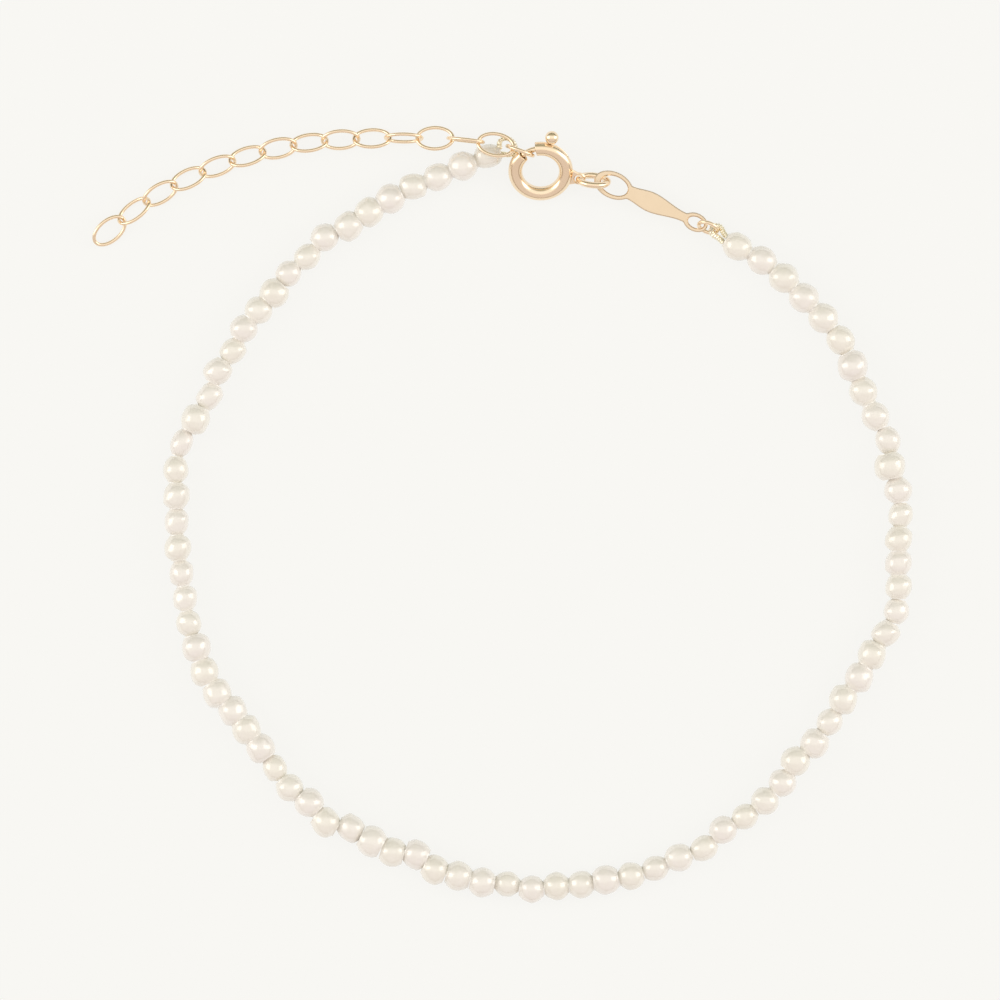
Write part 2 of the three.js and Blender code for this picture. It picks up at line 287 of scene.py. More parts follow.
# %% [markdown]
# ### Colours of the nacre
# Four noises make the clouds, the drift of the bands, the ripples and the dents. Each has its scale,
# its detail and the step by which a pearl's seed moves it on, so that no two pearls look the same.

# %% Nacre clouds and bands
NACRE_NOISES = {
    "clouds": (1.6, 3.0, 7.3), "drift": (1.1, 2.0, 3.1), "ripple": (5.0, 4.0, 11), "dents": (1.7, 2.0, 17),
}
CREAM_DARK = (0.85, 0.82, 0.745)
CREAM_LIGHT = (0.915, 0.883, 0.835)
PEARL_TINTS = [
    (0.0, (0.893, 0.85, 0.755)), (0.4, (0.915, 0.883, 0.81)),
    (0.7, (0.905, 0.85, 0.825)), (1.0, (0.935, 0.898, 0.85)),
]
TINT_SHARE = 0.45
OLIVE = (0.8, 0.78, 0.66)
BAND_SHARE = 0.12
BANDS_ALONG, BANDS_DRIFT, BANDS_SEED = 9, 7, 5


def nacre_noise(graph, name, local, seed):
    scale, detail, seed_step = NACRE_NOISES[name]
    return graph.noise(local, scale, detail, seed * seed_step)


def cloudy_bands(graph, local, seed):
    """Wavy rings round the thread, from nought to one."""
    along, _, _ = graph.separate(local)
    drift = nacre_noise(graph, "drift", local, seed)
    return (along * BANDS_ALONG + drift * BANDS_DRIFT + seed * BANDS_SEED).sine() * 0.5 + 0.5


def pearl_colour(graph, local, seed, rings):
    """Cloudy cream, mixed with the pearl's own tint and a little olive in the bands."""
    clouds = nacre_noise(graph, "clouds", local, seed)
    cream = graph.mix_colour(clouds, (*CREAM_DARK, 1), (*CREAM_LIGHT, 1))
    tint = graph.node("ShaderNodeValToRGB", {"stops": PEARL_TINTS}, {"Fac": seed}, "Color")
    colour = graph.mix_colour(TINT_SHARE, cream, tint)
    return graph.mix_colour(rings * BAND_SHARE, colour, (*OLIVE, 1))


print("nacre noises:", list(NACRE_NOISES))

# %% [markdown]
# ### The pearl's shader
# The base is rough enough to spread the lamps into a sheen, and the clear coat over it is smooth. The
# skin has shallow dents with finer ripples in them, which a bump is enough for.

# %% Pearl material
RIPPLE_HEIGHT = 0.12
BAND_HEIGHT = 0.05
SKIN_BUMP = 0.35
SKIN_DEPTH = 0.1
NACRE_METAL = 0.1
NACRE_SMOOTH = 0.14
NACRE_ROUGHER = 0.16
NACRE_IOR = 1.53
COAT_ROUGHNESS = 0.08
COAT_IOR = 1.5


def pearl_material():
    material, graph = new_material("nacre")
    local = attribute(graph, "pearl_local", "Vector")
    seed = attribute(graph, "pearl_seed")
    rings = cloudy_bands(graph, local, seed)
    ripple = nacre_noise(graph, "ripple", local, seed)
    dents = nacre_noise(graph, "dents", local, seed)
    height = dents + ripple * RIPPLE_HEIGHT + rings * BAND_HEIGHT
    shader = graph.node("ShaderNodeBsdfPrincipled", {}, {
        "Base Color": pearl_colour(graph, local, seed, rings),
        "Metallic": NACRE_METAL,
        "Roughness": ripple * NACRE_ROUGHER + NACRE_SMOOTH,
        "IOR": NACRE_IOR,
        "Coat Weight": 1.0,
        "Coat Roughness": COAT_ROUGHNESS,
        "Coat IOR": COAT_IOR,
        "Normal": bump(graph, height, SKIN_BUMP, SKIN_DEPTH),
    })
    finish_material(graph, shader)
    return material


nacre = pearl_material()
print("material:", nacre.name)

# %% [markdown]
# ## Gold
# The metal parts are pale rolled gold. Handling leaves a fine haze of scratches, so the roughness
# wanders, and tiny dents make the reflections waver. The tag is duller than the polished rings, and the
# wound gimp wire is paler and yellower than both.

# %% Gold materials
HAZE_SCALE = 900
HAZE_DETAIL = 4.0
PATCH_SCALE = 380
PATCH_SEED = 4.0
HAZE_HEIGHT = 0.35
DENT_DEPTH = 0.03


def gold_material(name, light, dark, smooth, rough, dent):
    """Gold between two colours and two roughnesses, with dents of a given strength."""
    material, graph = new_material(name)
    place = graph.node("ShaderNodeTexCoord", {}, {}, "Object")
    haze = graph.noise(place, HAZE_SCALE, detail=HAZE_DETAIL)
    patches = graph.noise(place, PATCH_SCALE, seed=PATCH_SEED)
    height = patches + haze * HAZE_HEIGHT
    shader = graph.node("ShaderNodeBsdfPrincipled", {}, {
        "Base Color": graph.mix_colour(patches, (*light, 1), (*dark, 1)),
        "Metallic": 1.0,
        "Roughness": haze * (rough - smooth) + smooth,
        "Normal": bump(graph, height, dent, DENT_DEPTH),
    })
    finish_material(graph, shader)
    return material


polished = gold_material("polished_gold", (0.97, 0.8, 0.59), (0.93, 0.74, 0.52), 0.1, 0.24, 0.14)
brushed = gold_material("tag_gold", (0.845, 0.69, 0.505), (0.8, 0.64, 0.455), 0.22, 0.42, 0.8)
gimp_gold = gold_material("gimp_gold", (0.97, 0.92, 0.77), (0.94, 0.87, 0.68), 0.24, 0.34, 0.1)
print("materials:", polished.name, brushed.name, gimp_gold.name)

# %% [markdown]
# ## Silk
# The thread is plied silk, a soft dull white. It shows only where two pearls leave a little room.

# %% Silk material
SILK_GROOVE_SHADE = (0.8, 0.77, 0.7)
SILK_WHITE = (0.9, 0.88, 0.83)
PLY_ACROSS, PLY_UP = 30000, 22000


def silk_material():
    material, graph = new_material("silk")
    place = graph.node("ShaderNodeTexCoord", {}, {}, "Object")
    x, y, z = graph.separate(place)
    # The grooves between the plies are painted darker than their crests: this is painted shade that follows
    # the bump, and the crests keep the silk's own white.
    ply = ((x + y) * PLY_ACROSS + z * PLY_UP).sine() * 0.5 + 0.5
    shader = graph.node("ShaderNodeBsdfPrincipled", {}, {
        "Base Color": graph.mix_colour(ply, (*SILK_GROOVE_SHADE, 1), (*SILK_WHITE, 1)),
        "Roughness": ply * 0.1 + 0.65,
        "Sheen Weight": 0.3,
        "Normal": bump(graph, ply, 0.4, 0.02),
    })
    finish_material(graph, shader)
    return material


silk = silk_material()
print("material:", silk.name)

# %% [markdown]
# ## From a node tree to a plain mesh
# A Geometry Nodes tree is made once and run by a modifier. The evaluated result is copied into a plain
# mesh and the modifier goes, so that what is exported is what is seen. Places are in millimetres until
# here, and the last scaling puts them in metres.

# %% Start and end a tree
SHARP = math.radians(40)
SOCKETS = {"float": "NodeSocketFloat", "int": "NodeSocketInt", "material": "NodeSocketMaterial"}


def new_tree(name, **inputs):
    """Geometry Nodes tree with a geometry input and the named others; gives its graph, start and values."""
    tree = bpy.data.node_groups.new(name, "GeometryNodeTree")
    for direction in ("OUTPUT", "INPUT"):
        tree.interface.new_socket("Geometry", in_out=direction, socket_type="NodeSocketGeometry")
    for label, kind in inputs.items():
        tree.interface.new_socket(label, in_out="INPUT", socket_type=SOCKETS[kind])
    graph = Graph(tree)
    start = graph.node("NodeGroupInput", {}, {}, "Geometry")
    values = {label: start.output(label) for label in inputs}
    return graph, start, values


def end_tree(graph, geometry, material):
    """Realize what is left of instances, shade smooth but for sharp edges, and set the material."""
    real = graph.node("GeometryNodeRealizeInstances", {}, {"Geometry": geometry})
    smooth = graph.node("GeometryNodeSetShadeSmooth", {}, {"Geometry": real})
    angle = graph.node("GeometryNodeInputMeshEdgeAngle", {}, {}, "Unsigned Angle")
    edged = graph.node("GeometryNodeSetShadeSmooth", {"domain": "EDGE"}, {
        "Geometry": smooth, "Selection": angle.above(SHARP), "Shade Smooth": False})
    clad = graph.node("GeometryNodeSetMaterial", {}, {"Geometry": edged, "Material": material})
    graph.node("NodeGroupOutput", {}, {"Geometry": clad})
    return graph.tree


def named(graph, name, kind="FLOAT"):
    return graph.node("GeometryNodeInputNamedAttribute", {"data_type": kind}, {"Name": name}, "Attribute")


def keep(graph, geometry, name, value, kind="FLOAT"):
    return graph.node("GeometryNodeStoreNamedAttribute", {"data_type": kind, "domain": "POINT"},
                      {"Geometry": geometry, "Name": name, "Value": value})


print("tree helpers ready")

# %% [markdown]
# ### Run a tree
# The mesh that a tree starts from is a row of points, and each point can carry values of its own, such
# as the width of its pearl. Objects are joined with Blender's own operator.

# %% Run and join


def triangles(mesh):
    return sum(len(face.vertices) - 2 for face in mesh.polygons)


def path_mesh(points, closed=False, **attributes):
    """Mesh of points joined by edges, with a float or a vector for each point under each name."""
    mesh = bpy.data.meshes.new("path")
    count = len(points)
    edges = [(index, (index + 1) % count) for index in range(count if closed else count - 1)]
    mesh.from_pydata([tuple(point) for point in points], edges, [])
    for name, values in attributes.items():
        kind = "FLOAT_VECTOR" if isinstance(values[0], Vector) else "FLOAT"
        data = mesh.attributes.new(name, kind, "POINT").data
        for item, value in zip(data, values):
            if kind == "FLOAT":
                item.value = value
            else:
                item.vector = value
    return mesh


def grow(name, mesh, tree, **inputs):
    """Run a tree on a mesh and keep the result as a plain mesh in metres."""
    carrier = bpy.data.objects.new(name, mesh)
    bpy.context.scene.collection.objects.link(carrier)
    modifier = carrier.modifiers.new("grow", "NODES")
    modifier.node_group = tree
    labels = {item.name: item.identifier for item in tree.interface.items_tree if item.in_out == "INPUT"}
    for label, value in inputs.items():
        modifier[labels[label]] = value
    evaluated = carrier.evaluated_get(bpy.context.evaluated_depsgraph_get())
    result = bpy.data.meshes.new_from_object(evaluated)
    carrier.modifiers.clear()
    carrier.data = result
    result.name = name
    result.transform(Matrix.Scale(MM, 4))
    bpy.data.meshes.remove(mesh)
    print(name, "has", triangles(result), "triangles")
    return carrier


def join(name, *objects):
    """One object from several, with their meshes together."""
    first = objects[0]
    with bpy.context.temp_override(active_object=first, selected_editable_objects=list(objects)):
        bpy.ops.object.join()
    first.name = name
    first.data.name = name
    return first


print("runner ready")

# %% [markdown]
# ## The string of pearls
# A freshwater pearl grows free, so no two match: most are a little wider than long, some are flat, some
# lean and a few are slim. Each has a letter for its kind and a digit for how far it sits beside the
# string's line, as they lie in the photograph. The line itself has a point at every third pearl.

# %% Chart of the pearls
PEARL_WIDTH = 2.16
SIDE_STEP = 0.12
ON_THE_LINE = 5
STRING_ROUTE = [
    (18.13, 20.76), (23.27, 16.81), (27.02, 11.56), (29.76, 5.8), (30.73, 0.04), (30.57, -5.49),
    (28.52, -10.74), (25.24, -15.96), (21.61, -20.64), (17.04, -24.27), (11.79, -27.25), (6.07, -28.49),
    (0.35, -28.45), (-5.22, -27.33), (-10.09, -25.16), (-14.92, -22.15), (-18.67, -17.97),
    (-22.03, -13.72), (-24.23, -8.31), (-25.08, -2.51), (-25.24, 3.52), (-22.61, 9.24),
    (-19.98, 14.42), (-16.54, 18.67), (-11.9, 22.34), (-6.92, 25.39), (-1.12, 27.75),
]
KINDS = {
    "r": (1.0, 0), "w": (1.07, 0), "x": (1.14, 8), "n": (0.91, 0), "s": (0.78, 0), "f": (1.07, -13),
    "b": (1.07, 13), "m": (1.0, 16), "k": (0.91, 16),
}
KIND_CHART = ("rrwwwrxrrn" "xrkmmmnmff" "fnfwrrnrnr" "nrwrrrnwwb" "bwxmbwrkbb"
              "bbbbnkkmkm" "nsfkmkrrwn" "nrffwmrwk")
SIDE_CHART = ("5765675335" "2553358755" "4552566585" "5545575655" "0554957654"
              "3565544543" "5765745435" "585555455")
print("kinds of pearl:", {letter: KIND_CHART.count(letter) for letter in KINDS})

# %% [markdown]
# ### Where each pearl lies
# A smooth curve through the line's points is walked in even steps, one for each pearl. The same curve
# serves for the gimp and the chain further on. A digit of 5 leaves a pearl on the line, and each step up
# or down from it moves the pearl 0.12 mm outwards or inwards.

# %% Stations along the string


def catmull_rom(points, share):
    """Point and direction at a share of the way along a smooth curve through points."""
    spans = len(points) - 1
    span = min(int(share * spans), spans - 1)
    t = share * spans - span
    before = points[span - 1] if span else 2 * points[0] - points[1]
    after = points[span + 2] if span + 2 <= spans else 2 * points[-1] - points[-2]
    start, end = points[span], points[span + 1]
    leave, arrive = (end - before) / 2, (after - start) / 2
    bend = 2 * start - 2 * end + leave + arrive
    swing = -3 * start + 3 * end - 2 * leave - arrive
    return ((bend * t + swing) * t + leave) * t + start, (3 * bend * t + 2 * swing) * t + leave


def pearl_stations():
    """Centre, width and lean of every pearl, in millimetres and degrees."""
    line = [Vector((x, y, 0)) for x, y in STRING_ROUTE]
    stations = []
    for index, (letter, digit) in enumerate(zip(KIND_CHART, SIDE_CHART)):
        point, direction = catmull_rom(line, index / (len(KIND_CHART) - 1))
        outwards = Vector((-direction.y, direction.x, 0)).normalized()
        share, lean = KINDS[letter]
        centre = point + outwards * (int(digit) - ON_THE_LINE) * SIDE_STEP + SHIFT
        centre.z = PEARL_WIDTH * share / 2 + SHIFT.z
        stations.append((centre, PEARL_WIDTH * share, lean))
    return stations


stations = pearl_stations()
print(len(stations), "pearls, first at", [round(value, 2) for value in stations[0][0]])

# %% [markdown]
# ### One tree for all the pearls
# Every pearl starts as the same ball with its poles on the thread. The tree sets it on its point, makes
# it as long as the room to each neighbour, leans its waist and swells it here and there by noise that
# differs from pearl to pearl. Its ends flare a little and are cut flat where it meets its neighbours, as
# a tightly strung row shows no dark lines between its pearls.

# %% Pearl tree
ROUNDNESS = 2.05
FULL_LENGTH = 0.975
WIDEST_CUT = 0.93
COLLAR = 0.12
SEAM_GAP = 0.003
LUMP_SCALE = 1.2
LUMP_DETAIL = 1.0
LUMP_SEED = 60


def balls_on_points(graph, points, segments, rings):
    """A ball on every point, that keeps its own round shape as a named value."""
    ball = graph.node("GeometryNodeMeshUVSphere", {}, {"Segments": segments, "Rings": rings, "Radius": 1.0},
                      "Mesh")
    marked = keep(graph, ball, "ball", graph.node("GeometryNodeInputPosition", {}, {}), "FLOAT_VECTOR")
    strung = graph.node("GeometryNodeInstanceOnPoints", {}, {"Points": points, "Instance": marked})
    return graph.node("GeometryNodeRealizeInstances", {}, {"Geometry": strung})


def pearl_tree():
    graph, points, inputs = new_tree("strung_pearls", Segments="int", Rings="int", Swell="float",
                                     Material="material")
    real = balls_on_points(graph, points, inputs["Segments"], inputs["Rings"])
    x, y, pole = graph.separate(named(graph, "ball", "FLOAT_VECTOR"))
    along = (pole / (math.pi / inputs["Rings"]).cosine()).least(1).most(-1)
    ahead = along.above(0)
    half = ahead * named(graph, "room_after") + (1 - ahead) * named(graph, "room_before")
    radius = named(graph, "girth") * 0.5
    cut = (half / (radius * FULL_LENGTH)).least(WIDEST_CUT)
    end_slope = cut ** ROUNDNESS * (1 - cut ** ROUNDNESS) ** (1 / ROUNDNESS - 1)
    collar = ((abs(along) - (1 - COLLAR)) / COLLAR).most(0) ** 2 * end_slope * (COLLAR / 2)
    fullness = (1 - (abs(along) * cut) ** ROUNDNESS) ** (1 / ROUNDNESS) + collar
    level = (x * x + y * y) ** 0.5
    local = graph.combine(along * cut, x / level * fullness, y / level * fullness)
    placed = keep(graph, real, "pearl_local", local, "FLOAT_VECTOR")

    seed = named(graph, "pearl_seed")
    place = named(graph, "pearl_local", "FLOAT_VECTOR")
    noise = graph.noise(place, LUMP_SCALE, LUMP_DETAIL, seed * LUMP_SEED)
    lumps = (noise - 0.5) * inputs["Swell"]
    _, across, up = graph.separate(graph.stretch(place, 1 + lumps))
    tilt = named(graph, "lean") * (1 - abs(along))
    forward = along * (half - SEAM_GAP) - across * radius * tilt.sine()
    sideways = across * radius * tilt.cosine()
    turn = named(graph, "turn")
    offset = graph.combine(
        forward * turn.cosine() - sideways * turn.sine(),
        forward * turn.sine() + sideways * turn.cosine(),
        up * radius,
    )
    position = graph.vector("ADD", named(graph, "centre", "FLOAT_VECTOR"), offset)
    moved = graph.node("GeometryNodeSetPosition", {}, {"Geometry": placed, "Position": position})
    return end_tree(graph, moved, inputs["Material"])


strung_pearls = pearl_tree()
print("tree:", strung_pearls.name)

# %% [markdown]
# ### The pearls themselves
# The values that differ from pearl to pearl are handed to the tree on its points. The seeds step by the
# golden ratio, which spreads them evenly whatever their number.

# %% String the pearls
SEED_STEP = 0.618
PEARL_SEGMENTS = 32
PEARL_RINGS = 24
PEARL_SWELL = 0.19


def string_attributes():
    """For each pearl: direction of the thread, room to each neighbour and its kind."""
    rows = []
    last = len(stations) - 1
    for index, (centre, width, lean) in enumerate(stations):
        before = stations[max(index - 1, 0)][0]
        after = stations[min(index + 1, last)][0]
        gap_before = (centre - before).length or (after - centre).length
        gap_after = (after - centre).length or gap_before
        direction = after - before
        rows.append({
            "centre": centre,
            "turn": math.atan2(direction.y, direction.x),
            "room_before": gap_before / 2,
            "room_after": gap_after / 2,
            "girth": width,
            "lean": math.radians(lean),
            "pearl_seed": (index * SEED_STEP) % 1.0,
        })
    return {name: [row[name] for row in rows] for name in rows[0]}


pearl_points = path_mesh([centre for centre, _, _ in stations], **string_attributes())
pearls = grow("pearls", pearl_points, strung_pearls, Segments=PEARL_SEGMENTS, Rings=PEARL_RINGS,
              Swell=PEARL_SWELL, Material=nacre)

# %% [markdown]
# ## Wires
# Thread, rings, bolt and chain are all a round wire along a path, so one tree sweeps a circle along any
# path. The gimp is a wire wound round a path, so a second tree first bends the path into a coil.

# %% Wire trees


def sweep(graph, curve, radius, sides):
    circle = graph.node("GeometryNodeCurvePrimitiveCircle", {"mode": "RADIUS"},
                        {"Resolution": sides, "Radius": radius}, "Curve")
    return graph.node("GeometryNodeCurveToMesh", {},
                      {"Curve": curve, "Profile Curve": circle, "Fill Caps": True})


def wire_tree():
    graph, path, inputs = new_tree("wire", Radius="float", Sides="int", Material="material")
    curve = graph.node("GeometryNodeMeshToCurve", {}, {"Mesh": path})
    return end_tree(graph, sweep(graph, curve, inputs["Radius"], inputs["Sides"]), inputs["Material"])


def coil_tree():
    graph, path, inputs = new_tree("coil", Turns="int", Steps="int", Core="float", Radius="float",
                                   Sides="int", Material="material")
    curve = graph.node("GeometryNodeMeshToCurve", {}, {"Mesh": path})
    count = inputs["Turns"] * inputs["Steps"]
    fine = graph.node("GeometryNodeResampleCurve", {"mode": "COUNT"}, {"Curve": curve, "Count": count})
    factor = graph.node("GeometryNodeSplineParameter", {}, {}, "Factor")
    normal = graph.node("GeometryNodeInputNormal", {}, {}, "Normal")
    tangent = graph.node("GeometryNodeInputTangent", {}, {}, "Tangent")
    angle = factor * inputs["Turns"] * math.tau
    outwards = graph.vector("ADD", graph.stretch(normal, angle.cosine()),
                            graph.stretch(graph.vector("CROSS_PRODUCT", tangent, normal), angle.sine()))
    coiled = graph.node("GeometryNodeSetPosition", {},
                        {"Geometry": fine, "Offset": graph.stretch(outwards, inputs["Core"])})
    return end_tree(graph, sweep(graph, coiled, inputs["Radius"], inputs["Sides"]), inputs["Material"])


wire = wire_tree()
coil = coil_tree()
print("trees:", wire.name, coil.name)

# %% [markdown]
# ## The thread
# The silk thread runs through every drill hole, from the gimp at one end to the gimp at the other.

# %% Thread
THREAD_RADIUS = 0.14
THREAD_SIDES = 8


def thread_ends():
    """Hole of the first pearl and of the last, on the side away from the string."""
    first, second = stations[0][0], stations[1][0]
    last, next_to_last = stations[-1][0], stations[-2][0]
    start = first - (second - first) / 2
    end = last + (last - next_to_last) / 2
    return Vector((start.x, start.y, first.z)), Vector((end.x, end.y, last.z))


right_hole, left_hole = thread_ends()
thread_path = [right_hole] + [centre for centre, _, _ in stations] + [left_hole]
thread = grow("thread", path_mesh(thread_path), wire, Radius=THREAD_RADIUS, Sides=THREAD_SIDES,
              Material=silk)

# %% [markdown]
# ## Rings
# The rings are bent from round wire. The two small ones are closed by pliers, so they have a fine
# seam, and the ring beside the tag is soldered shut.

# %% Ring helpers
RING_STEPS = 72
RING_SIDES = 16
SEAM = math.radians(1.6)


def circle_point(radius, angle):
    return Vector((radius * math.cos(angle), radius * math.sin(angle), 0))


def ring(name, place, diameter, width, seam_at=None):
    """Wire ring in the XY plane of its place, with a seam at an angle or none."""
    radius = (diameter - width) / 2
    if seam_at is None:
        angles = [math.tau * step / RING_STEPS for step in range(RING_STEPS)]
    else:
        start = math.radians(seam_at) + SEAM / 2
        angles = [start + (math.tau - SEAM) * step / RING_STEPS for step in range(RING_STEPS + 1)]
    path = [place @ circle_point(radius, angle) for angle in angles]
    return grow(name, path_mesh(path, closed=seam_at is None), wire, Radius=width / 2, Sides=RING_SIDES,
                Material=polished)


def hang(radius, azimuth, rise, lean, point):
    """Place of a ring whose wire passes through a point at its near end."""
    turned = pose(Vector(), azimuth, rise, lean)
    return Matrix.Translation(point - turned @ Vector((-radius, 0, 0))) @ turned


print("ring helpers ready")

# %% [markdown]
# ### The ring beside the tag
# It is the thickest of the three. It hangs through the eye of the clasp's lug, tipped so far that from
# above it looks like a slim oval.

# %% Tag ring
JOIN_WIRE = 0.5
JOIN_DIAMETER = 2.74
JOIN_AZIMUTH, JOIN_RISE, JOIN_LEAN = -8, 6.5, 111
LUG_REACH = 3.03
LUG_ANGLE = math.radians(-12.2)

lug_eye = CLAMP_POSE @ circle_point(LUG_REACH, LUG_ANGLE)
join_place = hang((JOIN_DIAMETER - JOIN_WIRE) / 2, JOIN_AZIMUTH, JOIN_RISE, JOIN_LEAN, lug_eye)
tag_ring = ring("tag_ring", join_place, JOIN_DIAMETER, JOIN_WIRE)

# %% [markdown]
# ### The small rings
# The right one hangs in the tag's small eye. The left one stands on edge with the clasp's bolt through
# it, so it is placed from a point on the bolt.

# %% Small rings
SMALL_WIRE = 0.31
RIGHT_DIAMETER = 1.83
RIGHT_AZIMUTH, RIGHT_LEAN = -22, 64
RIGHT_RING_AHEAD = 0.3
RIGHT_SEAM = 205
TAG_MIDDLE = Vector((8.56, 25.5, 1.1))
TAG_AZIMUTH = -24.3
EYE_SPACING = 6.95

TAG_POSE = pose(TAG_MIDDLE + SHIFT, TAG_AZIMUTH, 0, 0)
right_radius = (RIGHT_DIAMETER - SMALL_WIRE) / 2
small_eye = TAG_POSE @ Vector((EYE_SPACING + RIGHT_RING_AHEAD, 0, 0))
right_place = hang(right_radius, RIGHT_AZIMUTH, 0, RIGHT_LEAN, small_eye)
right_ring = ring("right_jump_ring", right_place, RIGHT_DIAMETER, SMALL_WIRE, RIGHT_SEAM)

LEFT_DIAMETER = 2.43
LEFT_AZIMUTH, LEFT_LEAN = -20.9, 90
LEFT_RING_ANGLE = math.radians(126)
LEFT_RING_AHEAD = 0.46
LEFT_SEAM = 150
CLAMP_WIDTH = 4.99
CLAMP_TUBE = 1.08
CLAMP_RADIUS = (CLAMP_WIDTH - CLAMP_TUBE) / 2

left_turn = pose(Vector(), LEFT_AZIMUTH, 0, LEFT_LEAN)
bolt_point = CLAMP_POSE @ circle_point(CLAMP_RADIUS, LEFT_RING_ANGLE)
left_place = Matrix.Translation(bolt_point - left_turn @ Vector((LEFT_RING_AHEAD, 0, 0))) @ left_turn
left_ring = ring("left_jump_ring", left_place, LEFT_DIAMETER, SMALL_WIRE, LEFT_SEAM)

# %% [markdown]
# ## Gimp
# Gimp, or French wire, is a very fine spring slipped over the thread so that the rings don't saw through
# it. It is a real coil here, of about twenty turns round each loop of thread, with a plain core of the
# same gold inside, so that no light shows between the turns.

# %% Gimp helpers
GIMP_WIRE = 0.15
GIMP_SEAT = 0.02
COIL_STEPS = 14
COIL_SIDES = 6
CORE_SIDES = 8


def gimp_path(bend, middle, hole, outwards, width, steps=60):
    """Smooth path out of a pearl's hole, round a ring's wire and back."""
    side = Vector((-outwards.y, outwards.x, 0))
    seat = hole + outwards * GIMP_SEAT
    apart = width / 2
    points = [seat + side * apart] + [middle + Vector(step) for step in bend] + [seat - side * apart]
    return [catmull_rom(points, step / steps)[0] for step in range(steps + 1)]


def gimp(name, path, width, turns):
    """Coil of a given outer width along a path, with its core."""
    core = width / 2 - GIMP_WIRE / 2
    wound = grow(name, path_mesh(path), coil, Turns=turns, Steps=COIL_STEPS, Core=core,
                 Radius=GIMP_WIRE / 2, Sides=COIL_SIDES, Material=gimp_gold)
    inside = grow("inside", path_mesh(path), wire, Radius=core, Sides=CORE_SIDES, Material=gimp_gold)
    return join(name, wound, inside)


def level_direction(start, end):
    direction = end - start
    return Vector((direction.x, direction.y, 0)).normalized()


print("gimp helpers ready")

# %% [markdown]
# ### The two loops
# Each loop leaves the last pearl's hole, passes through its ring, turns round the wire and comes back.
# The bends are lists of places chosen from the photograph: the right one is measured from the
# far end of its ring's wire, and the left one from the middle of its ring.

# %% Gimp loops
RIGHT_GIMP = 0.5
RIGHT_TURNS = 19
RIGHT_BEND = [
    (0.18, -0.59, 0.1), (-0.06, -0.43, 0.14), (-0.33, -0.27, 0.1), (-0.45, 0.03, 0),
    (-0.28, 0.34, -0.1), (0.02, 0.42, -0.15), (0.31, 0.27, -0.12), (0.45, -0.06, -0.05),
]
LEFT_GIMP = 0.43
LEFT_TURNS = 24
LEFT_BEND = [
    (-1.62, 0.56, -0.75), (-1.47, 0.88, -0.55), (-1.0, 0.99, -0.43), (-0.54, 0.67, -0.44),
    (-0.36, 0.18, -0.53), (-0.56, -0.17, -0.66), (-0.9, -0.27, -0.87),
]

right_out = level_direction(stations[1][0], stations[0][0])
far_end = right_place @ Vector((right_radius, 0, 0))
right_path = gimp_path(RIGHT_BEND, far_end, right_hole, right_out, RIGHT_GIMP)
right_gimp = gimp("right_gimp", right_path, RIGHT_GIMP, RIGHT_TURNS)

left_out = level_direction(stations[-2][0], stations[-1][0])
left_path = gimp_path(LEFT_BEND, left_place.translation, left_hole, left_out, LEFT_GIMP)
left_gimp = gimp("left_gimp", left_path, LEFT_GIMP, LEFT_TURNS)

# %% [markdown]
# ## The extender
# Fourteen oval links, each rolled about a quarter turn from the one before, as a cable chain lies. Where
# they meet was read from the photograph, and the links share the way evenly.

# %% Places of the links
LINK_COUNT = 14
LINK_WIRE = 0.28
LINK_WIDTH = 2.05
LINK_PLAY = 0.09
EXTENDER_ROUTE = [
    (-31.28, 21.21, 0.5), (-27.87, 24.0, 0.78), (-23.85, 26.24, 0.78), (-19.21, 27.91, 0.78),
    (-14.49, 28.87, 0.78), (-9.47, 29.14, 0.88), (-4.33, 29.1, 1.5), (-1.86, 28.85, 2.28),
    (0.68, 28.34, 2.63),
]
LINK_ROLLS = [27, -45, 42, -40, 44, -42, 40, -44, 42, -40, 72, -20, 88, -17]


def even_points(points, count, fineness=4000):
    """Points that share the length of a smooth curve evenly."""
    fine = [catmull_rom(points, step / fineness)[0] for step in range(fineness + 1)]
    lengths = [0.0]
    for start, end in zip(fine, fine[1:]):
        lengths.append(lengths[-1] + (end - start).length)

    def nearest(length):
        return min(range(fineness + 1), key=lambda step: abs(lengths[step] - length))

    return [fine[nearest(lengths[-1] * share / count)] for share in range(count + 1)]


def chain_points():
    """Middle, turn and half length of every link, and the mean half length."""
    route = [Vector(point) + SHIFT for point in EXTENDER_ROUTE]
    meets = even_points(route, LINK_COUNT)
    middles, turns, halves = [], [], []
    for start, end, roll in zip(meets, meets[1:], LINK_ROLLS):
        span = end - start
        rise = math.asin(span.z / span.length)
        middles.append((start + end) / 2)
        turns.append(Vector((math.radians(roll), -rise, math.atan2(span.y, span.x))))
        halves.append((span.length + LINK_WIRE + LINK_PLAY) / 2)
    return middles, turns, halves, sum(halves) / LINK_COUNT


link_middles, link_turns, link_halves, half_link = chain_points()
print("mean link length in mm:", round(half_link * 2, 2))

# %% [markdown]
# ### The chain
# The tree bends one oval link of the mean length and sets it on every point, turned as the point says
# and stretched a little along its length, so that the links meet though their lengths differ slightly.

# %% Chain
LINK_SIDES = 14
LINK_STEPS = 56


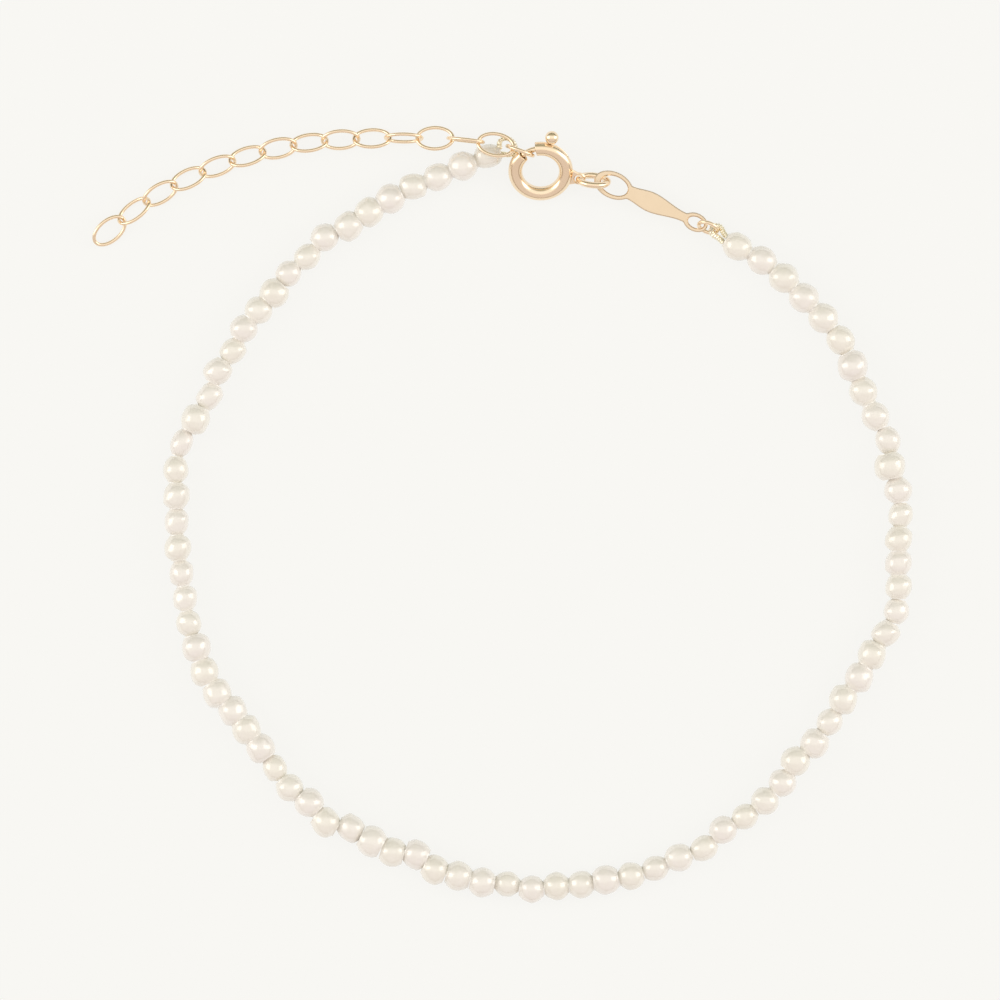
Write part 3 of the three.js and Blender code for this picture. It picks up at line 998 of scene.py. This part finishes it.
def link_tree():
    graph, points, inputs = new_tree("chain", Width="float", Half="float", Radius="float", Sides="int",
                                     Steps="int", Material="material")
    circle = graph.node("GeometryNodeCurvePrimitiveCircle", {"mode": "RADIUS"},
                        {"Resolution": inputs["Steps"], "Radius": 1.0}, "Curve")
    x, y, _ = graph.separate(graph.node("GeometryNodeInputPosition", {}, {}))
    bent = graph.node("GeometryNodeSetPosition", {}, {
        "Geometry": circle, "Position": graph.combine(x * inputs["Half"], y * inputs["Width"] * 0.5, 0.0)})
    link = sweep(graph, bent, inputs["Radius"], inputs["Sides"])
    angles = named(graph, "link_turn", "FLOAT_VECTOR")
    turn = graph.node("FunctionNodeEulerToRotation", {}, {"Euler": angles})
    stretch = named(graph, "half_length") / inputs["Half"]
    laid = graph.node("GeometryNodeInstanceOnPoints", {}, {
        "Points": points, "Instance": link, "Rotation": turn, "Scale": graph.combine(stretch, 1.0, 1.0)})
    return end_tree(graph, laid, inputs["Material"])


chain_mesh = path_mesh(link_middles, link_turn=link_turns, half_length=link_halves)
chain = grow("extender_chain", chain_mesh, link_tree(), Width=LINK_WIDTH - LINK_WIRE, Half=half_link,
             Radius=LINK_WIRE / 2, Sides=LINK_SIDES, Steps=LINK_STEPS, Material=polished)

# %% [markdown]
# ## The spring ring
# The clasp's body is a bent tube with a slot along its outer rim for the knob. Its wall is built as a
# skin of faces round the bend, the faces over the slot are left out, and a Solidify modifier gives the
# skin its thickness, so the bolt can be seen in the open mouth.

# %% Skin of the tube
MOUTH_A = 135
MOUTH_B = 101
SLOT_END = 29.6
SLOT_HALF = 20
TUBE_STEPS = 130
TUBE_SIDES = 36


def clamp_point(radius, angle, height=0.0):
    return CLAMP_POSE @ (circle_point(radius, angle) + Vector((0, 0, height)))


def tube_skin():
    """Skin of the tube in metres, open at both mouths and over the slot."""
    mesh = bmesh.new()
    start, end = math.radians(MOUTH_A), math.radians(MOUTH_B + 360)
    slot_start = math.radians(SLOT_END + 360)
    rings = []
    for step in range(TUBE_STEPS + 1):
        along = start + (end - start) * step / TUBE_STEPS
        circle = []
        for side in range(TUBE_SIDES):
            around = math.radians(360 * (side + 0.5) / TUBE_SIDES)
            radius = CLAMP_RADIUS + CLAMP_TUBE / 2 * math.cos(around)
            height = CLAMP_TUBE / 2 * math.sin(around)
            circle.append(mesh.verts.new(clamp_point(radius, along, height) * MM))
        rings.append((along, circle))
    open_sides = round(SLOT_HALF * TUBE_SIDES / 360)
    for (along, near), (_, far) in zip(rings, rings[1:]):
        for side in range(TUBE_SIDES):
            following = (side + 1) % TUBE_SIDES
            from_rim = min(side + 1, TUBE_SIDES - side - 1)
            if along > slot_start and from_rim < open_sides:
                continue
            mesh.faces.new((near[side], near[following], far[following], far[side]))
    bmesh.ops.recalc_face_normals(mesh, faces=mesh.faces)
    return mesh


skin = tube_skin()
print("skin of the tube has", len(skin.faces), "faces")

# %% [markdown]
# ### Wall and lips
# Solidify thickens the skin inwards and a small bevel rounds the lips of the mouths and of the slot.
# Both modifiers are applied, as the finished clasp is one plain mesh.

# %% Tube
WALL = 0.2
LIP = 0.035
LIP_SEGMENTS = 2
LIP_ANGLE = math.radians(50)


def object_from(name, mesh, material):
    """Smooth object from a bmesh, with one material."""
    data = bpy.data.meshes.new(name)
    mesh.to_mesh(data)
    mesh.free()
    data.materials.append(material)
    for face in data.polygons:
        face.use_smooth = True
    made = bpy.data.objects.new(name, data)
    bpy.context.scene.collection.objects.link(made)
    return made


def settle(piece):
    """Apply the modifiers of a piece."""
    evaluated = piece.evaluated_get(bpy.context.evaluated_depsgraph_get())
    result = bpy.data.meshes.new_from_object(evaluated)
    piece.modifiers.clear()
    piece.data = result
    result.name = piece.name
    print(piece.name, "has", triangles(result), "triangles")


tube = object_from("spring_ring", skin, polished)
wall = tube.modifiers.new("wall", "SOLIDIFY")
wall.thickness = WALL * MM
wall.offset = -1
lip = tube.modifiers.new("lip", "BEVEL")
lip.width = LIP * MM
lip.segments = LIP_SEGMENTS
lip.limit_method = "ANGLE"
lip.angle_limit = LIP_ANGLE
settle(tube)

# %% [markdown]
# ### Flat plates
# The lug and the tag are stamped from sheet. A flat curve with a bevel gives such a part its soft edges,
# and a hole is a second outline inside the first. The curve becomes a mesh, and its faces are turned
# outwards before it is carried to its place.

# %% Flat plates with soft edges
WELD = 1e-4


def flat_plate(name, outlines, thickness, edge, place, material):
    """Plate from closed outlines, the first outside and the rest holes, with rounded edges."""
    curve = bpy.data.curves.new(name, "CURVE")
    curve.dimensions = "2D"
    curve.fill_mode = "BOTH"
    curve.extrude = thickness / 2 - edge
    curve.bevel_depth = edge
    curve.bevel_resolution = 0
    curve.offset = -edge
    for outline in outlines:
        spline = curve.splines.new("POLY")
        spline.points.add(len(outline) - 1)
        for point, (x, y) in zip(spline.points, outline):
            point.co = (x, y, 0, 1)
        spline.use_cyclic_u = True
    carrier = bpy.data.objects.new(name, curve)
    bpy.context.scene.collection.objects.link(carrier)
    evaluated = carrier.evaluated_get(bpy.context.evaluated_depsgraph_get())
    data = bpy.data.meshes.new_from_object(evaluated)
    bpy.data.objects.remove(carrier)
    solid = bmesh.new()
    solid.from_mesh(data)
    bmesh.ops.remove_doubles(solid, verts=solid.verts, dist=WELD)
    bmesh.ops.recalc_face_normals(solid, faces=solid.faces)
    bmesh.ops.transform(solid, matrix=Matrix.Scale(MM, 4) @ place, verts=solid.verts)
    bpy.data.meshes.remove(data)
    plate = object_from(name, solid, material)
    plate.data.set_sharp_from_angle(angle=SHARP)
    return plate


def oval(x, length, width, steps=48):
    """Outline of an oval whose middle is at x on the X axis."""
    angles = [math.tau * step / steps for step in range(steps)]
    return [(x + length / 2 * math.cos(angle), width / 2 * math.sin(angle)) for angle in angles]


print("plate helpers ready")

# %% [markdown]
# ### The lug
# A flat tab narrows from the tube to an eye for the next ring. Its root ends inside the tube's wall, so
# that no gap shows where they meet.

# %% Lug
RING_PLAY = 0.11
LUG_WALL = 0.14
LUG_PLATE = 0.28
LUG_EDGE = 0.07
LUG_BASE = 1.32
LUG_SHOULDER = math.radians(110)
LUG_STEPS = 24
ROOT_DEPTH = WALL * 0.7


def lug_outlines():
    hole = JOIN_WIRE / 2 + RING_PLAY
    eye = hole + LUG_WALL
    root = CLAMP_RADIUS + CLAMP_TUBE / 2 - ROOT_DEPTH
    sides = [(root, -LUG_BASE / 2)]
    for step in range(LUG_STEPS + 1):
        angle = LUG_SHOULDER * (2 * step / LUG_STEPS - 1)
        sides.append((LUG_REACH + eye * math.cos(angle), eye * math.sin(angle)))
    sides.append((root, LUG_BASE / 2))
    return [sides, oval(LUG_REACH, hole * 2, hole * 2)]


lug_place = CLAMP_POSE @ Matrix.Rotation(LUG_ANGLE, 4, "Z")
lug = flat_plate("lug", lug_outlines(), LUG_PLATE, LUG_EDGE, lug_place, polished)
spring_ring = join("spring_ring", tube, lug)
print("tube and lug have", triangles(spring_ring.data), "triangles")

# %% [markdown]
# ### The trigger
# The bolt slides round inside the tube and closes the mouth. A neck through the slot carries the ball
# that a fingernail pulls back. The three are one piece of metal, so they ride on the moving body.

# %% Knob
KNOB_ANGLE = math.radians(73.6)
KNOB_DIAMETER = 1.04
KNOB_STAND = 0.02
KNOB_STEPS = 24
KNOB_SIDES = 32
NECK_WIDTH = 0.28


def knob():
    """Ball on its neck, in metres, turned to its place on the rim."""
    reach = (CLAMP_TUBE + KNOB_DIAMETER) / 2 + KNOB_STAND
    profile = [(0.0, 0.0), (NECK_WIDTH / 2, 0.0)]
    start = math.asin(NECK_WIDTH / KNOB_DIAMETER)
    for step in range(KNOB_STEPS + 1):
        angle = start + (math.pi - start) * step / KNOB_STEPS
        profile.append((KNOB_DIAMETER / 2 * math.sin(angle), reach - KNOB_DIAMETER / 2 * math.cos(angle)))
    mesh = bmesh.new()
    corners = [mesh.verts.new((radius, 0, height)) for radius, height in profile]
    edges = [mesh.edges.new(pair) for pair in zip(corners, corners[1:])]
    bmesh.ops.spin(mesh, geom=corners + edges, cent=(0, 0, 0), axis=(0, 0, 1), angle=math.tau,
                   steps=KNOB_SIDES, use_duplicate=False)
    bmesh.ops.remove_doubles(mesh, verts=mesh.verts, dist=WELD)
    bmesh.ops.recalc_face_normals(mesh, faces=mesh.faces)
    outwards = Matrix.Rotation(math.pi / 2, 4, "Y")
    rim = Matrix.Rotation(KNOB_ANGLE, 4, "Z") @ Matrix.Translation((CLAMP_RADIUS, 0, 0))
    bmesh.ops.transform(mesh, matrix=Matrix.Scale(MM, 4) @ CLAMP_POSE @ rim @ outwards, verts=mesh.verts)
    return object_from("knob", mesh, polished)


ball_knob = knob()
print("knob has", triangles(ball_knob.data), "triangles")

# %% [markdown]
# ### The bolt
# The bolt is a round wire bent to the tube's own circle. It reaches across the mouth and ends just
# inside the tube's other lip.

# %% Bolt
BOLT_WIRE = 0.44
BOLT_TIP = 137.5
BOLT_TAIL = 60
BOLT_STEPS = 40
BOLT_SIDES = 20

bolt_degrees = [BOLT_TAIL + (BOLT_TIP - BOLT_TAIL) * step / BOLT_STEPS for step in range(BOLT_STEPS + 1)]
bolt_path = path_mesh([clamp_point(CLAMP_RADIUS, math.radians(degrees)) for degrees in bolt_degrees])
bolt = grow("bolt", bolt_path, wire, Radius=BOLT_WIRE / 2, Sides=BOLT_SIDES, Material=polished)
trigger = join("spring_ring_trigger", bolt, ball_knob)

# %% [markdown]
# ## The tag
# A thin plate with a large eye, a waist, a long swelling body and a small eye.
# The outline is a soft widest of its three forms at each place: a high power of each width is added up,
# so the eyes run into the body with a small fillet.

# %% Outline of the tag
LARGE_EYE = {"length": 3.1, "width": 2.06, "hole": (2.2, 1.4, 0.08)}
SMALL_EYE = {"length": 1.96, "width": 1.42, "hole": (1.3, 0.82, 0.05)}
BODY_WIDTHS = [(0.0, 1.08), (1.35, 1.08), (3.13, 1.56), (5.97, 0.73), (6.95, 0.73)]
BLEND_POWER = 12


def eye_half(x, centre, eye):
    """Half width of an oval eye."""
    reach = 1 - ((x - centre) / (eye["length"] / 2)) ** 2
    return eye["width"] / 2 * math.sqrt(max(reach, 0.0))


def body_half(x):
    """Half width of the body, eased between the widths that it passes through."""
    for (start, first), (end, second) in zip(BODY_WIDTHS, BODY_WIDTHS[1:]):
        if start <= x <= end:
            share = (x - start) / (end - start)
            ease = share * share * (3 - 2 * share)
            return (first + (second - first) * ease) / 2
    return 0.0


def tag_outlines(steps=160):
    """Outline of the plate and of its two holes, with more steps near its ends."""
    low, high = -LARGE_EYE["length"] / 2, EYE_SPACING + SMALL_EYE["length"] / 2
    middle, half = (low + high) / 2, (high - low) / 2
    upper = []
    for step in range(steps + 1):
        x = middle - half * math.cos(math.pi * step / steps)
        widths = [eye_half(x, 0, LARGE_EYE), eye_half(x, EYE_SPACING, SMALL_EYE), body_half(x)]
        upper.append((x, sum(width ** BLEND_POWER for width in widths) ** (1 / BLEND_POWER)))
    lower = [(x, -y) for x, y in reversed(upper[1:-1])]
    holes = []
    for centre, eye in ((0, LARGE_EYE), (EYE_SPACING, SMALL_EYE)):
        length, width, ahead = eye["hole"]
        holes.append(oval(centre + ahead, length, width))
    return [upper + lower] + holes


tag_loops = tag_outlines()
print("points of the tag's outlines:", [len(loop) for loop in tag_loops])

# %% [markdown]
# ### The tag's plate
# It lies flat, turned as in the photograph, and its edge is rounded all round.

# %% Tag
TAG_PLATE = 0.28
TAG_EDGE = 0.08

tag = flat_plate("tag", tag_loops, TAG_PLATE, TAG_EDGE, TAG_POSE, brushed)
print("tag has", triangles(tag.data), "triangles")

# %% [markdown]
# ## Riding, replacing and finishes
# Each piece says which body carries it, which CAD nodes it stands for and which finish of the record it
# has.

LINKS = [f"extender_link_{number:02d}" for number in range(1, LINK_COUNT + 1)]
PIECES = [
    (pearls, "root", "pearl", ["pearl_string"]),
    (thread, "root", "pearl", []),
    (right_gimp, "root", "gimp", ["right_gimp_loop"]),
    (left_gimp, "root", "gimp", ["left_gimp_loop"]),
    (tag_ring, "root", "gold", ["tag_ring"]),
    (right_ring, "root", "gold", ["right_jump_ring"]),
    (left_ring, "root", "gold", ["left_jump_ring"]),
    (tag, "root", "gold", ["tag"]),
    (chain, "root", "gold", LINKS),
    (spring_ring, "root", "gold", ["spring_ring"]),
    (trigger, "trigger", "gold", ["spring_ring_trigger"]),
]
for piece, body, slot_name, nodes in PIECES:
    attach(piece, body)
    if nodes:
        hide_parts(*nodes)
print(len(PIECES), "pieces declared")

# %% [markdown]
# ## Table
# The photograph has a cream ground with no shadow to be seen, which is a lit white table. So the floor
# glows a little by itself and takes only faint shadows.

# %% Floor
FLOOR_SIZE = 1200
TABLE_LIGHT = (0.945, 0.935, 0.895)
TABLE_DARK = (0.935, 0.925, 0.885)
TABLE_GLOW = (0.937, 0.933, 0.907)
GLOW_SHARE = 0.88
TABLE_GRAIN = 6.0


def floor_material():
    material, graph = new_material("table")
    place = graph.node("ShaderNodeTexCoord", {}, {}, "Object")
    colour = graph.mix_colour(graph.noise(place, TABLE_GRAIN), (*TABLE_DARK, 1), (*TABLE_LIGHT, 1))
    matt = graph.node("ShaderNodeBsdfDiffuse", {}, {"Color": colour})
    glow = graph.node("ShaderNodeEmission", {}, {"Color": (*TABLE_GLOW, 1), "Strength": 1.0})
    finish_material(graph, graph.node("ShaderNodeMixShader", {}, {0: GLOW_SHARE, 1: matt, 2: glow}))
    return material


floor_mesh = bmesh.new()
bmesh.ops.create_grid(floor_mesh, x_segments=1, y_segments=1, size=FLOOR_SIZE / 2 * MM)
floor = object_from("floor", floor_mesh, floor_material())
print("floor is", FLOOR_SIZE, "mm wide")

# %% [markdown]
# ## Lamps
# Every pearl in the photograph has a small bright spot at its left and one at its right. They are the
# mirror images of two soft boxes that stand low at either side.

# %% Soft boxes
LAMP_DISTANCE = 500
LAMP_LENGTH = 520
LAMP_WIDTH = 240
LAMP_OFF_ZENITH = 70
LAMP_RADIANCE = 1.6
LAMP_COLOUR = (1.0, 0.975, 0.94)
LAMP_AZIMUTHS = {"left_box": 172, "right_box": 8}


def soft_box(name, azimuth):
    """Rectangular lamp that looks at the bracelet from an azimuth in degrees."""
    data = bpy.data.lights.new(name, "AREA")
    data.shape = "RECTANGLE"
    data.size = LAMP_LENGTH * MM
    data.size_y = LAMP_WIDTH * MM
    data.energy = LAMP_RADIANCE * math.pi * data.size * data.size_y
    data.color = LAMP_COLOUR
    lamp = bpy.data.objects.new(name, data)
    turn = Euler((0, math.radians(LAMP_OFF_ZENITH), math.radians(azimuth))).to_matrix()
    lamp.location = turn @ Vector((0, 0, LAMP_DISTANCE)) * MM
    lamp.rotation_euler = turn.to_euler()
    lamp.visible_camera = False
    bpy.context.scene.collection.objects.link(lamp)


for name, azimuth in LAMP_AZIMUTHS.items():
    soft_box(name, azimuth)

# %% [markdown]
# ## World
# The room round the table is a colour for each direction. Gold and pearls mirror it, so it is drawn as
# the photograph's reflections ask: a bright roof, a dark olive wall behind, a pinkish grey one in front,
# and below both a darker skirt that draws the thin brown lines along the gold.

# %% World
ROOF = (1.12, 1.09, 1.04)
BACK_WALL = (0.42, 0.42, 0.33)
FRONT_WALL = (0.78, 0.71, 0.69)
FRONT_SKIRT = (0.45, 0.37, 0.31)
BACK_SKIRT = (0.1, 0.085, 0.06)
BACK_FADE = (0.35, 0.75)
FRONT_FADE = (0.12, 0.45)
SKIRT_FADE = (-0.4, 0.4)
HORIZON_FADE = (0.1, 0.3)

world = bpy.data.worlds.new("studio")
world.use_nodes = True
studio = Graph(world.node_tree)
towards = studio.node("ShaderNodeTexCoord", {}, {}, "Generated")
_, across, height = studio.separate(towards)


def ramp(value, low, high):
    """Nought below low, one above high, and eased between."""
    return studio.node("ShaderNodeMapRange", {"interpolation_type": "SMOOTHSTEP"},
                       {"Value": value, "From Min": low, "From Max": high}, "Result")


back = studio.mix_colour(ramp(across, *BACK_FADE), (*ROOF, 1), (*BACK_WALL, 1))
tent = studio.mix_colour(ramp(-across, *FRONT_FADE), back, (*FRONT_WALL, 1))
skirt = studio.mix_colour(ramp(across, *SKIRT_FADE), (*FRONT_SKIRT, 1), (*BACK_SKIRT, 1))
light = studio.mix_colour(ramp(height, *HORIZON_FADE), skirt, tent)
sky = studio.node("ShaderNodeBackground", {}, {"Color": light, "Strength": 1.0})
studio.node("ShaderNodeOutputWorld", {}, {"Surface": sky})
bpy.context.scene.world = world
bpy.context.scene.view_settings.view_transform = "Standard"
print("world:", world.name)
